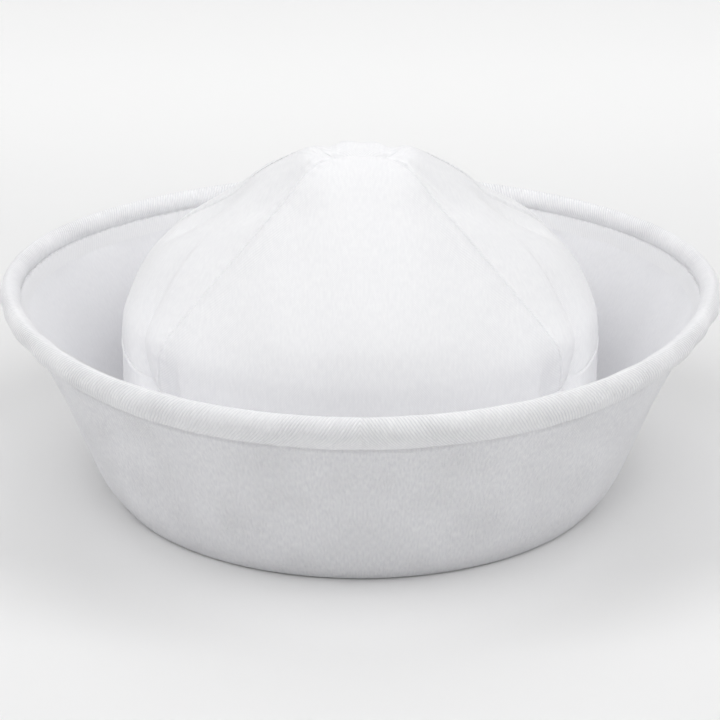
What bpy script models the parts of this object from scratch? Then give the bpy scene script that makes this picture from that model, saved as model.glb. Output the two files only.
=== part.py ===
"""Sailor cap: four crown gores on an upright band, and a turned-up brim with a stuffed roll at its rim.

Metres, +Z up. The front of the cap faces -Y. The cap stands on the ground, with its middle at the origin.
An azimuth is measured in degrees from the front, positive towards +X.
"""

import math
from collections import namedtuple

import bmesh
import bpy

# Cloth
CROWN_CLOTH = 0.0018
BRIM_CLOTH = 0.0024
SEAM_GAP = 0.0003

# Crown, measured on its outside
BAND_HALF_WIDTH = 0.0945
BAND_FRONT_REACH = 0.0860
BAND_BACK_REACH = 0.0880
BAND_TOP = 0.0543
BAND_SIDE_LIFT = 0.0060
BAND_LIFT_POWER = 10
BAND_LIFT_FADE = 0.3
CROWN_RISE = 0.0817
TOP_SEAM_HALF_LENGTH = 0.0100
TOP_SEAM_FORWARD = 0.0058
FRONT_SEAM_AZIMUTH = 58.0
REAR_SEAM_AZIMUTH = 120.0
SEAM_RIDGE_HEIGHT = 0.0022
SEAM_RIDGE_WIDTH = 0.0100
RIDGE_CREST = 0.6
RIDGE_SPREAD = 0.45
RIDGE_RUN_IN = 0.25
RIDGE_TOP_POWER = 6

# Brim: the base is measured on the outside of its wall, the rim on the middle line of the roll
BASE_RADIUS = 0.0978
RIM_HALF_WIDTH = 0.1356
RIM_HALF_DEPTH = 0.1324
RIM_POWER = 1.93
RIM_HEIGHT = 0.0746
RIM_SIDE_LIFT = 0.0045
RIM_LIFT_POWER = 4
RIM_BACK_LIFT = 0.0003
ROLL_HEIGHT = 0.0158
ROLL_THICKNESS = 0.0066

# How finely the cloth is faceted. Crowding draws a gore's columns towards its seams.
RING_COLUMNS = 72
WIDE_GORE_COLUMNS = 24
SIDE_GORE_COLUMNS = 14
SEAM_CROWDING = 0.3
WELD_DISTANCE = 0.000001

# Each row is a station up the crown, from the band to the top seam. A pair holds the share of the way from
# the top seam out to the band, and the share of the crown's rise.
CrownStation = namedtuple("CrownStation", "front front_seam side rear_seam back")
CROWN_STATIONS = (
    CrownStation((1.000, 0.000), (1.000, 0.000), (1.000, 0.000), (1.000, 0.000), (1.000, 0.000)),
    CrownStation((1.000, 0.110), (0.995, 0.110), (0.998, 0.110), (1.012, 0.135), (1.010, 0.135)),
    CrownStation((0.985, 0.225), (0.970, 0.225), (0.985, 0.225), (1.005, 0.270), (1.000, 0.270)),
    CrownStation((0.930, 0.340), (0.870, 0.330), (0.928, 0.335), (0.965, 0.395), (0.965, 0.395)),
    CrownStation((0.835, 0.440), (0.750, 0.430), (0.850, 0.430), (0.880, 0.487), (0.895, 0.505)),
    CrownStation((0.725, 0.535), (0.635, 0.530), (0.755, 0.515), (0.790, 0.553), (0.800, 0.600)),
    CrownStation((0.605, 0.630), (0.520, 0.628), (0.645, 0.592), (0.680, 0.620), (0.690, 0.690)),
    CrownStation((0.480, 0.725), (0.405, 0.727), (0.530, 0.670), (0.560, 0.705), (0.570, 0.775)),
    CrownStation((0.360, 0.812), (0.300, 0.815), (0.400, 0.770), (0.430, 0.835), (0.440, 0.860)),
    CrownStation((0.240, 0.895), (0.190, 0.925), (0.265, 0.885), (0.280, 0.938), (0.290, 0.950)),
    CrownStation((0.115, 0.965), (0.100, 0.985), (0.130, 0.995), (0.120, 1.028), (0.120, 1.035)),
    CrownStation((0.000, 1.010), (0.000, 1.000), (0.000, 1.000), (0.000, 1.000), (0.000, 1.010)),
)

# Folds lie alike on the left and the right. Azimuths and half widths are in degrees. A climb is -1 at the
# ground, 0 at the top of the band and 1 at the top seam. A depth is a share of the crown's rise.
Fold = namedtuple("Fold", "low_azimuth high_azimuth half_width low_climb high_climb depth")
FOLDS = (
    Fold(low_azimuth=50.0, high_azimuth=87.0, half_width=6.0, low_climb=-0.35, high_climb=0.60, depth=0.045),
    Fold(low_azimuth=51.0, high_azimuth=54.0, half_width=3.5, low_climb=-0.30, high_climb=0.26, depth=0.035),
    Fold(low_azimuth=58.0, high_azimuth=58.0, half_width=6.0, low_climb=-0.50, high_climb=0.26, depth=0.030),
    Fold(low_azimuth=108.0, high_azimuth=106.0, half_width=5.5, low_climb=0.30, high_climb=0.80, depth=0.050),
    Fold(low_azimuth=74.0, high_azimuth=72.0, half_width=9.0, low_climb=0.60, high_climb=0.98, depth=0.025),
)

# The brim's wall: share of the rim's height, and share of the way out from the base to the rim
WallStation = namedtuple("WallStation", "rise reach")
WALL_STATIONS = (
    WallStation(0.00, 0.00),
    WallStation(0.12, 0.19),
    WallStation(0.30, 0.345),
    WallStation(0.55, 0.545),
    WallStation(0.80, 0.785),
    WallStation(1.00, 1.00),
)

# The roll's section from its foot to its crest: share of half its height, and the shares of half its
# thickness that it bulges outwards and inwards
RollStation = namedtuple("RollStation", "along outer inner")
ROLL_STATIONS = (
    RollStation(-0.75, 0.62, 0.42),
    RollStation(-0.30, 1.02, 0.62),
    RollStation(0.20, 1.30, 0.90),
    RollStation(0.62, 1.18, 0.82),
    RollStation(0.88, 0.68, 0.48),
)

# Heights on the band, as shares of the way from its foot to its top
BAND_STATIONS = (0.0, 0.35, 0.70, 1.0)

COTTON_COLOUR = (0.87, 0.87, 0.87, 1.0)
COTTON_ROUGHNESS = 0.85

Gore = namedtuple("Gore", "name start end start_profile middle_profile end_profile padding columns")
GORES = (
    Gore("crown_front_gore", -FRONT_SEAM_AZIMUTH, FRONT_SEAM_AZIMUTH,
         "front_seam", "front", "front_seam", 0.6, WIDE_GORE_COLUMNS),
    Gore("crown_right_gore", FRONT_SEAM_AZIMUTH, REAR_SEAM_AZIMUTH,
         "front_seam", "side", "rear_seam", 0.0, SIDE_GORE_COLUMNS),
    Gore("crown_back_gore", REAR_SEAM_AZIMUTH, 360.0 - REAR_SEAM_AZIMUTH,
         "rear_seam", "back", "rear_seam", 1.0, WIDE_GORE_COLUMNS),
    Gore("crown_left_gore", 360.0 - REAR_SEAM_AZIMUTH, 360.0 - FRONT_SEAM_AZIMUTH,
         "rear_seam", "side", "front_seam", 0.0, SIDE_GORE_COLUMNS),
)


def mix(first, last, share):
    return first + (last - first) * share


def heading(azimuth):
    """Level unit vector that points out at an azimuth."""
    turn = math.radians(azimuth)
    return (math.sin(turn), -math.cos(turn))


def oval_radius(azimuth, half_width, front_reach, back_reach, power=2.0):
    """Radius at an azimuth of an oval with unlike front and back halves. A power under 2 slims its corners."""
    across, back = heading(azimuth)
    reach = back_reach if back > 0.0 else front_reach
    return (abs(across / half_width) ** power + abs(back / reach) ** power) ** (-1.0 / power)


def fold_depth(azimuth, climb):
    """How far the folds push the crown's cloth in at a place."""
    mirrored = abs((azimuth + 180.0) % 360.0 - 180.0)
    depth = 0.0
    for fold in FOLDS:
        share = (climb - fold.low_climb) / (fold.high_climb - fold.low_climb)
        if 0.0 < share < 1.0:
            middle = mix(fold.low_azimuth, fold.high_azimuth, share)
            across = (mirrored - middle) / fold.half_width
            depth += fold.depth * CROWN_RISE * math.sin(math.pi * share) ** 2 * math.exp(-across * across)
    return depth


def outward_normals(profile):
    """Normals of a profile within its own upright plane."""
    normals = []
    for place in range(len(profile)):
        before = profile[max(place - 1, 0)]
        after = profile[min(place + 1, len(profile) - 1)]
        run, rise = after[0] - before[0], after[1] - before[1]
        length = math.hypot(run, rise)
        normals.append((rise / length, -run / length))
    return normals


def shifted(profile, normals, distances):
    """A profile moved along its normals."""
    return [(reach + out * distance, height + up * distance)
            for (reach, height), (out, up), distance in zip(profile, normals, distances)]


def crown_cloth(azimuth, sheet, climbs, normals, ridge):
    """Closed section of crown cloth: the outside from foot to top, then the inside back down."""
    pushes = [lift - fold_depth(azimuth, climb) for climb, lift in zip(climbs, ridge)]
    outside = shifted(sheet, normals, pushes)
    inside = shifted(outside, normals, [-CROWN_CLOTH] * len(outside))
    return outside + inside[::-1]


def top_seam_end(azimuth):
    """End of the short top seam on the side that an azimuth lies on."""
    across = TOP_SEAM_HALF_LENGTH if heading(azimuth)[0] > 0.0 else -TOP_SEAM_HALF_LENGTH
    return (across, -TOP_SEAM_FORWARD)


def band_lift(azimuth):
    """How much higher the band's top is than at the front. It rises towards the sides."""
    return BAND_SIDE_LIFT * abs(heading(azimuth)[0]) ** BAND_LIFT_POWER


def band_edge(azimuth):
    """Plan point on the outside of the crown where the gores meet the band."""
    radius = oval_radius(azimuth, BAND_HALF_WIDTH, BAND_FRONT_REACH, BAND_BACK_REACH)
    return (heading(azimuth)[0] * radius, heading(azimuth)[1] * radius)


def direction(start, end):
    length = math.dist(start, end)
    return ((end[0] - start[0]) / length, (end[1] - start[1]) / length)


def inset_corner(corner, edge, other_edge):
    """Plan corner moved in by half a seam gap from both edges that leave it."""
    spread = abs(edge[0] * other_edge[1] - edge[1] * other_edge[0])
    step = SEAM_GAP / 2.0 / spread
    return (corner[0] + (edge[0] + other_edge[0]) * step, corner[1] + (edge[1] + other_edge[1]) * step)


def gore_top_corners(gore):
    """Inset plan corners of a gore at the top seam: a side gore comes to one point there."""
    start, end = top_seam_end(gore.start), top_seam_end(gore.end)
    start_seam = direction(start, band_edge(gore.start))
    end_seam = direction(end, band_edge(gore.end))
    if start == end:
        tip = inset_corner(start, start_seam, end_seam)
        return tip, tip
    along = direction(start, end)
    back_along = (-along[0], -along[1])
    return inset_corner(start, along, start_seam), inset_corner(end, back_along, end_seam)


def blended_profile(gore, side):
    """Shares of reach and rise at a place across a gore, from -1 at its start to 1 at its end."""
    weights = ((gore.start_profile, side * (side - 1.0) / 2.0),
               (gore.middle_profile, 1.0 - side * side),
               (gore.end_profile, side * (side + 1.0) / 2.0))
    shares = []
    for station in CROWN_STATIONS:
        reach = sum(getattr(station, name)[0] * weight for name, weight in weights)
        rise = sum(getattr(station, name)[1] * weight for name, weight in weights)
        shares.append((reach, rise))
    return shares


def seam_ridge(distance, climb):
    """Lift of the felled allowance that pads a gore beside its seam, away from the band and the top seam."""
    across = (distance - SEAM_RIDGE_WIDTH * RIDGE_CREST) / (SEAM_RIDGE_WIDTH * RIDGE_SPREAD)
    fade = min(1.0, climb / RIDGE_RUN_IN) * (1.0 - climb ** RIDGE_TOP_POWER)
    return SEAM_RIDGE_HEIGHT * fade * math.exp(-across * across)


def gore_section(gore, side, corners):
    """One upright section through a gore, from the band to the top seam."""
    azimuth = mix(gore.start, gore.end, (side + 1.0) / 2.0)
    top = (mix(corners[0][0], corners[1][0], (side + 1.0) / 2.0),
           mix(corners[0][1], corners[1][1], (side + 1.0) / 2.0))
    edge = band_edge(azimuth)
    spoke = direction(top, edge)
    inset = side * SEAM_GAP / 2.0
    foot = (edge[0] + spoke[1] * inset, edge[1] - spoke[0] * inset)
    spoke, length = direction(top, foot), math.dist(top, foot)

    foot_height = BAND_TOP + SEAM_GAP / 2.0
    lift = band_lift(azimuth)
    sheet = []
    for reach, rise in blended_profile(gore, side):
        raised = lift * max(0.0, 1.0 - rise / BAND_LIFT_FADE) ** 2
        sheet.append((reach * length, mix(foot_height, BAND_TOP + CROWN_RISE, rise) + raised))
    normals = outward_normals(sheet)
    normals[0], normals[-1] = (1.0, 0.0), (0.0, 1.0)
    climbs = [place / (len(sheet) - 1) for place in range(len(sheet))]

    nearest = gore.start if side < 0.0 else gore.end
    seam_top, seam_foot = top_seam_end(nearest), band_edge(nearest)
    seam = direction(seam_top, seam_foot)
    ridge = []
    for (reach, _), climb in zip(sheet, climbs):
        offset = (top[0] + spoke[0] * reach - seam_top[0], top[1] + spoke[1] * reach - seam_top[1])
        distance = abs(offset[0] * seam[1] - offset[1] * seam[0])
        ridge.append(seam_ridge(distance, climb) * gore.padding)

    section = crown_cloth(azimuth, sheet, climbs, normals, ridge)
    return [(top[0] + spoke[0] * reach, top[1] + spoke[1] * reach, height) for reach, height in section]


def gore_sections(gore):
    corners = gore_top_corners(gore)
    sections = []
    for column in range(gore.columns + 1):
        even = 2.0 * column / gore.columns - 1.0
        side = even * (1.0 + SEAM_CROWDING * (1.0 - even * even))
        sections.append(gore_section(gore, side, corners))
    return sections


def turned(section, azimuth):
    """Places a section of radius and height pairs at its azimuth."""
    across, back = heading(azimuth)
    return [(across * radius, back * radius, height) for radius, height in section]


def ring_azimuths():
    return [360.0 * column / RING_COLUMNS for column in range(RING_COLUMNS)]


def band_section(azimuth):
    """The upright band stands on the brim's base fold and meets the gores."""
    foot_radius = BASE_RADIUS - BRIM_CLOTH - SEAM_GAP
    top_radius = oval_radius(azimuth, BAND_HALF_WIDTH, BAND_FRONT_REACH, BAND_BACK_REACH)
    foot_height = BRIM_CLOTH + SEAM_GAP
    top_height = BAND_TOP + band_lift(azimuth) - SEAM_GAP / 2.0
    sheet = [(mix(foot_radius, top_radius, share), mix(foot_height, top_height, share))
             for share in BAND_STATIONS]
    climbs = [share - 1.0 for share in BAND_STATIONS]
    level = [(1.0, 0.0)] * len(sheet)
    return turned(crown_cloth(azimuth, sheet, climbs, level, [0.0] * len(sheet)), azimuth)


def wall_line(azimuth):
    """Middle line of the brim's cloth from the base to the middle of the roll."""
    base_radius = BASE_RADIUS - BRIM_CLOTH / 2.0
    rim_radius = oval_radius(azimuth, RIM_HALF_WIDTH, RIM_HALF_DEPTH, RIM_HALF_DEPTH, RIM_POWER)
    across, back = heading(azimuth)
    rim_height = RIM_HEIGHT + RIM_SIDE_LIFT * across ** RIM_LIFT_POWER + RIM_BACK_LIFT * back
    return [(mix(base_radius, rim_radius, station.reach), rim_height * station.rise)
            for station in WALL_STATIONS]


def roll_frame(azimuth):
    """Middle of the roll, the direction of its height, and the direction out of the cap."""
    line = wall_line(azimuth)
    (low_radius, low_height), middle = line[-2], line[-1]
    along = direction((low_radius, low_height), middle)
    return middle, along, (along[1], -along[0])


def cuff_section(azimuth):
    """The brim's wall with the fold that the cap stands on, below the roll."""
    middle, along, _ = roll_frame(azimuth)
    below = ROLL_HEIGHT / 2.0 + SEAM_GAP
    edge = (middle[0] - along[0] * below, middle[1] - along[1] * below)
    sheet = wall_line(azimuth)[:-1] + [edge]
    normals = outward_normals(sheet)
    half = BRIM_CLOTH / 2.0
    outside = shifted(sheet, normals, [half] * len(sheet))
    inside = shifted(sheet, normals, [-half] * len(sheet))

    band_inner_radius = BASE_RADIUS - BRIM_CLOTH - SEAM_GAP - CROWN_CLOTH
    foot_outside = [(band_inner_radius, 0.0),
                    (BASE_RADIUS - half, 0.0),
                    (BASE_RADIUS + half / 3.0, half * 0.75)]
    foot_inside = [(BASE_RADIUS - half * 0.9, BRIM_CLOTH), (band_inner_radius, BRIM_CLOTH)]
    return turned(foot_outside + outside[1:] + inside[:0:-1] + foot_inside, azimuth)


def roll_section(azimuth):
    """The stuffed roll: its foot butts on the wall's edge and its belly hangs outwards."""
    middle, along, out = roll_frame(azimuth)
    half_height, half_thickness = ROLL_HEIGHT / 2.0, ROLL_THICKNESS / 2.0
    foot = (-half_height, BRIM_CLOTH / 2.0)
    outer = [foot] + [(row.along * half_height, row.outer * half_thickness) for row in ROLL_STATIONS]
    inner = [foot] + [(row.along * half_height, row.inner * half_thickness) for row in ROLL_STATIONS]
    loop = outer + [(half_height, 0.0)] + [(step, -bulge) for step, bulge in inner[::-1]]
    section = [(middle[0] + along[0] * step + out[0] * bulge, middle[1] + along[1] * step + out[1] * bulge)
               for step, bulge in loop]
    return turned(section, azimuth)


def cotton(name):
    material = bpy.data.materials.new(name + "_cotton")
    material.use_nodes = True
    shader = material.node_tree.nodes["Principled BSDF"]
    shader.inputs["Base Color"].default_value = COTTON_COLOUR
    shader.inputs["Roughness"].default_value = COTTON_ROUGHNESS
    shader.inputs["Metallic"].default_value = 0.0
    return material


def loft(name, sections, is_ring, collection):
    """One closed body through like closed sections: a ring of them, or a run with a cap at each end.

    A section of a run lists its outside from foot to top and then its inside from top to foot.
    """
    shape = bmesh.new()
    loops = [[shape.verts.new(point) for point in section] for section in sections]
    followers = loops[1:] + loops[:1] if is_ring else loops[1:]
    for near, far in zip(loops, followers):
        for place, vertex in enumerate(near):
            after = (place + 1) % len(near)
            shape.faces.new((vertex, near[after], far[after], far[place]))
    if not is_ring:
        for loop in (loops[0], loops[-1]):
            for place in range(len(loop) // 2 - 1):
                shape.faces.new((loop[place], loop[place + 1], loop[-place - 2], loop[-place - 1]))
    bmesh.ops.remove_doubles(shape, verts=shape.verts, dist=WELD_DISTANCE)
    bmesh.ops.recalc_face_normals(shape, faces=shape.faces)

    mesh = bpy.data.meshes.new(name)
    shape.to_mesh(mesh)
    shape.free()
    mesh.shade_smooth()
    mesh.set_sharp_from_angle(angle=math.radians(40.0))
    mesh.materials.append(cotton(name))
    piece = bpy.data.objects.new(name, mesh)
    collection.objects.link(piece)
    return piece


def build_cap():
    for thing in list(bpy.data.objects):
        bpy.data.objects.remove(thing, do_unlink=True)
    collection = bpy.data.collections.new("sailor_cap")
    bpy.context.scene.collection.children.link(collection)

    for gore in GORES:
        loft(gore.name, gore_sections(gore), False, collection)
    rings = (("crown_band", band_section), ("brim_cuff", cuff_section), ("rim_roll", roll_section))
    for name, section in rings:
        loft(name, [section(azimuth) for azimuth in ring_azimuths()], True, collection)


build_cap()
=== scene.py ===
"""Sailor cap: the looks of a white cotton twill cap with a turned-up brim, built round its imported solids.

Metres, +Z up. The front of the cap faces -Y. An azimuth is in degrees from the front, positive towards +X.
A climb is -1 at the foot of the crown's band, 0 at its top edge and 1 at the top seam. Every shape is worked
out from the sizes below, and the folds and puckers are moves of the mesh in code.
"""

from __future__ import annotations

import logging
import math
from dataclasses import dataclass, field
from enum import Enum
from functools import partial
import bmesh
import bpy
import numpy as np
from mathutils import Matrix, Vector


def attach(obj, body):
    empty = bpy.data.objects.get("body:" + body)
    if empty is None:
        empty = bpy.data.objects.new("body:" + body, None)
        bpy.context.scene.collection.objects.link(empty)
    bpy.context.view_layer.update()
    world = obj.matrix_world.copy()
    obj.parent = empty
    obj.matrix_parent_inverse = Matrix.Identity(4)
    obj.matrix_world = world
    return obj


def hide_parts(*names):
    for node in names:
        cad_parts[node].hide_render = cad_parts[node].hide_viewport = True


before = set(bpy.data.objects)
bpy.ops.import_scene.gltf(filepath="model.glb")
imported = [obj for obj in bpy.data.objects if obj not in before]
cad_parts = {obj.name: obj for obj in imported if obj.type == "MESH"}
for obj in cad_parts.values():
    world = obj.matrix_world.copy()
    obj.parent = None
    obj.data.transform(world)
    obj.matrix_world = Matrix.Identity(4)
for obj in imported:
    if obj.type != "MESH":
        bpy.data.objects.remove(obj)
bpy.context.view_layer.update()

Array = np.ndarray
Pair = tuple[float, float]
Triple = tuple[float, float, float]
Quadruple = tuple[float, float, float, float]
LOG = logging.getLogger("sailor_cap")
MM = 0.001
BODY = "root"
WEAVE_MAP = "weave_place"
WELD_DISTANCE = 0.002 * MM
SHARP_ANGLE = math.radians(50.0)
# The period of a wave node whose scale is one
WAVE_PERIOD = math.pi / 10.0


class MaterialSlot(Enum):
    """Names of the record's slots; each piece keeps one, but its finish comes from its twill or thread."""

    CROWN = "crown_cotton"
    BRIM = "brim_cotton"


class RibLay(Enum):
    """How the ribs of the twill lie on a panel."""

    STEEP = "steep"
    MIRRORED = "mirrored"


class Profile(Enum):
    """The upright profiles of the crown that the gores are blended from."""

    FRONT = 0
    FRONT_SEAM = 1
    SIDE = 2
    REAR_SEAM = 3
    BACK = 4


# Stations up the crown from the band to the top seam. Each pair is the share of the way out from the top seam
# and the share of the crown's rise, for the profiles in the order of the Enum.
CROWN_STATIONS = np.array([
    [(1.0, 0.0), (1.0, 0.0), (1.0, 0.0), (1.0, 0.0), (1.0, 0.0)],
    [(1.0, 0.11), (0.995, 0.11), (0.998, 0.11), (1.012, 0.135), (1.01, 0.135)],
    [(0.985, 0.225), (0.97, 0.225), (0.985, 0.225), (1.005, 0.27), (1.0, 0.27)],
    [(0.93, 0.34), (0.87, 0.33), (0.928, 0.335), (0.965, 0.395), (0.965, 0.395)],
    [(0.835, 0.44), (0.75, 0.43), (0.85, 0.43), (0.88, 0.487), (0.895, 0.505)],
    [(0.725, 0.535), (0.635, 0.53), (0.755, 0.515), (0.79, 0.553), (0.8, 0.6)],
    [(0.605, 0.63), (0.52, 0.628), (0.645, 0.592), (0.68, 0.62), (0.69, 0.69)],
    [(0.48, 0.725), (0.405, 0.727), (0.53, 0.67), (0.56, 0.705), (0.57, 0.775)],
    [(0.36, 0.812), (0.3, 0.815), (0.4, 0.77), (0.43, 0.835), (0.44, 0.86)],
    [(0.24, 0.895), (0.19, 0.925), (0.265, 0.885), (0.28, 0.938), (0.29, 0.95)],
    [(0.115, 0.965), (0.1, 0.985), (0.13, 0.995), (0.12, 1.028), (0.12, 1.035)],
    [(0.0, 1.01), (0.0, 1.0), (0.0, 1.0), (0.0, 1.0), (0.0, 1.01)],
])


@dataclass(frozen=True)
class Fold:
    """A soft hollow in the crown's cloth, alike on the left and the right.

    Azimuths and the half width are in degrees, and the depth is in metres.
    """

    low_azimuth: float
    high_azimuth: float
    half_width: float
    low_climb: float
    high_climb: float
    depth: float

    def place(self, azimuth: Array, climb: Array) -> tuple[Array, Array]:
        """Where a point lies in the fold.

        Args:
            azimuth: mirrored azimuths, from 0 at the front to 180 at the back.
            climb: climbs of the same points.

        Returns:
            How far across the fold the point is, in half widths, and how much of its depth is left there.
        """
        share = np.clip((climb - self.low_climb) / (self.high_climb - self.low_climb), 0.0, 1.0)
        middle = mix(self.low_azimuth, self.high_azimuth, share)
        return (azimuth - middle) / self.half_width, np.sin(math.pi * share) ** 2

    def push(self, azimuth: Array, climb: Array) -> Array:
        """How far the fold moves the cloth out, which is below zero."""
        across, fade = self.place(azimuth, climb)
        return -self.depth * fade * bump(across, 1.0)


@dataclass(frozen=True)
class Crease(Fold):
    """A sharp crease: the cloth in front of it rolls over the cloth behind it."""

    bulge: float = 0.8 * MM
    sharpness: float = 0.28
    spread: float = 1.7

    def push(self, azimuth: Array, climb: Array) -> Array:
        """How far the crease moves the cloth: in at its line, and out where the front side rolls over.

        Args:
            azimuth: mirrored azimuths.
            climb: climbs of the same points.

        Returns:
            Lengths along the cloth's normal.
        """
        across, fade = self.place(azimuth, climb)
        lip = bump(across, self.sharpness)
        front = -self.depth * lip + self.bulge * (1.0 - lip) * bump(across, self.spread)
        return fade * np.where(across < 0.0, front, -self.depth * bump(across, 1.0))


CROWN_RISE = 81.7 * MM
FOLDS = (
    Fold(50.0, 87.0, 6.0, -0.35, 0.60, 0.045 * CROWN_RISE),
    Fold(51.0, 54.0, 3.5, -0.30, 0.26, 0.035 * CROWN_RISE),
    Fold(58.0, 58.0, 6.0, -0.50, 0.26, 0.020 * CROWN_RISE),
    Fold(108.0, 106.0, 5.5, 0.30, 0.80, 0.050 * CROWN_RISE),
    Fold(74.0, 72.0, 9.0, 0.60, 0.98, 0.025 * CROWN_RISE),
    Crease(48.0, 84.8, 4.2, -0.35, 0.60, 3.2 * MM, 2.0 * MM),
    Crease(48.0, 52.5, 2.6, -0.22, 0.22, 0.7 * MM, 0.5 * MM),
)


def mix(first: float, last: float, share: Array | float) -> Array | float:
    """A value at a share of the way from the first to the last."""
    return first + (last - first) * share


def smooth_step(low: float, high: float, value: Array) -> Array:
    """Rises from 0 to 1 between two values without corners."""
    share = np.clip((value - low) / (high - low), 0.0, 1.0)
    return share * share * (3.0 - 2.0 * share)


def window(low: float, rise: float, fall: float, high: float, value: Array) -> Array:
    """Rises from 0 to 1 between the first two values and falls back between the last two."""
    return smooth_step(low, rise, value) * (1.0 - smooth_step(fall, high, value))


def stack(*values: Array) -> Array:
    """Values of one shape side by side, along a new last axis."""
    return np.stack(values, axis=-1)


def join(*values: Array) -> Array:
    """Values after one another along their last axis."""
    return np.concatenate(values, axis=-1)


def heading(azimuth: Array) -> Array:
    """Level unit vectors that point out at azimuths in degrees."""
    turn = np.radians(azimuth)
    return stack(np.sin(turn), -np.cos(turn))


def from_front(azimuth: Array) -> Array:
    """Azimuths mirrored to one side, from 0 at the front to 180 at the back."""
    return np.abs((azimuth + 180.0) % 360.0 - 180.0)


def turn_of(count: int) -> Array:
    """Evenly spaced azimuths once round the cap."""
    return np.linspace(0.0, 360.0, count, endpoint=False)


def bump(value: Array, width: float) -> Array:
    """A soft bump: 1 where the value is zero, and fading within the width on either side."""
    return np.exp(-(value / width) ** 2)


def unit(vectors: Array) -> Array:
    """Vectors scaled to a length of one."""
    return vectors / np.linalg.norm(vectors, axis=-1, keepdims=True)


def oval_radius(azimuth: Array, half_width: float, front: float, back: float,
                power: float = 2.0) -> Array:
    """Radius of an oval whose front and back reaches differ. A power under 2 slims its corners.

    Args:
        azimuth: azimuths round the oval.
        half_width: its reach to either side.
        front: its reach to the front.
        back: its reach to the back.
        power: 2 for an ellipse.

    Returns:
        The radius at each azimuth.
    """
    way = heading(azimuth)
    reach = np.where(way[..., 1] > 0.0, back, front)
    total = np.abs(way[..., 0] / half_width) ** power + np.abs(way[..., 1] / reach) ** power
    return total ** (-1.0 / power)


def through(stations: Array, places: Array) -> Array:
    """A smooth line through evenly placed stations.

    Args:
        stations: values whose first axis runs along the line.
        places: shares of the way along the line.

    Returns:
        The values of the line at the places.
    """
    last = len(stations) - 1
    step = np.clip(places, 0.0, 1.0) * last
    near = np.minimum(step.astype(int), last - 1)
    t = (step - near).reshape((-1,) + (1,) * (stations.ndim - 1))
    before, after = 2 * stations[:1] - stations[1:2], 2 * stations[-1:] - stations[-2:-1]
    padded = np.concatenate([before, stations, after])
    a, b, c, d = (padded[near + shift] for shift in range(4))
    return b + 0.5 * t * ((c - a) + t * ((2 * a - 5 * b + 4 * c - d) + t * (3 * (b - c) + d - a)))


def arc_lengths(points: Array) -> Array:
    """Lengths along lines of points whose last two axes are the places and the coordinates."""
    steps = np.linalg.norm(np.diff(points, axis=-2), axis=-1)
    return join(np.zeros(steps.shape[:-1] + (1,)), np.cumsum(steps, axis=-1))


def grid_area(points: Array) -> float:
    """Area of a sheet given as a grid of points, in square metres.

    Args:
        points: points by column, row and coordinate.

    Returns:
        The area.
    """
    across = points[1:, :-1] - points[:-1, :-1]
    along = points[:-1, 1:] - points[:-1, :-1]
    return float(np.linalg.norm(np.cross(across, along), axis=-1).sum())


@dataclass(frozen=True)
class Ripple:
    """Soft unevenness that cloth has: a few waves of chosen lengths and depths, the same at each run."""

    depth: float
    across_length: float
    along_length: float
    seed: int
    waves: int = 7

    def push(self, across: Array, along: Array) -> Array:
        """How far the waves move the cloth out at places that are in metres.

        Args:
            across: places across the cloth.
            along: places up the cloth.

        Returns:
            Lengths along the cloth's normal.
        """
        draw = np.random.RandomState(self.seed)
        total = np.zeros(np.broadcast(across, along).shape)
        for _ in range(self.waves):
            stretch, lean = draw.uniform(0.6, 1.7), draw.uniform(-0.7, 0.7)
            phase = draw.uniform(0.0, 2.0 * math.pi)
            turn = across / self.across_length * stretch + along / self.along_length * lean
            total += np.sin(2.0 * math.pi * turn + phase)
        return self.depth * total / math.sqrt(self.waves)


def srgb(code: str) -> Quadruple:
    """Linear colour of an sRGB hex value.

    Args:
        code: six hex digits.

    Returns:
        Red, green, blue and an alpha of one.
    """
    parts = [int(code[place:place + 2], 16) / 255.0 for place in (0, 2, 4)]
    linear = [part / 12.92 if part <= 0.04045 else ((part + 0.055) / 1.055) ** 2.4 for part in parts]
    return (*linear, 1.0)


def add_node(tree: bpy.types.NodeTree, kind: str, output: str | int, settings: dict,
             links: dict) -> bpy.types.NodeSocket:
    """Adds one node with its settings and links.

    Args:
        tree: the node tree of the finish.
        kind: the node's type, without the first word that all of them share.
        output: name or place of the output that is used.
        settings: values for the node's properties and, where no property has that name, its sockets.
        links: what feeds each of its sockets.

    Returns:
        That output of the new node.
    """
    node = tree.nodes.new("ShaderNode" + kind)
    for name, value in settings.items():
        if isinstance(name, str) and hasattr(node, name):
            setattr(node, name, value)
        else:
            node.inputs[name].default_value = value
    for name, source in links.items():
        tree.links.new(source, node.inputs[name])
    return node.outputs[output]


def new_finish(name: str, sockets: dict) -> tuple[bpy.types.Material, bpy.types.NodeTree, bpy.types.Node]:
    """Makes a node material and sets its shader.

    Args:
        name: name of the material.
        sockets: values for the shader's own sockets.

    Returns:
        The material, its node tree and its shader.
    """
    made = bpy.data.materials.new(name)
    made.use_nodes = True
    shader = made.node_tree.nodes["Principled BSDF"]
    for socket, value in sockets.items():
        shader.inputs[socket].default_value = value
    return made, made.node_tree, shader


def new_body(name: str, data: bpy.types.ID) -> bpy.types.Object:
    """A new object in the scene that shows a mesh, a light or a camera.

    Args:
        name: name of the object.
        data: what it shows.

    Returns:
        The object.
    """
    body = bpy.data.objects.new(name, data)
    bpy.context.scene.collection.objects.link(body)
    return body


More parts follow.
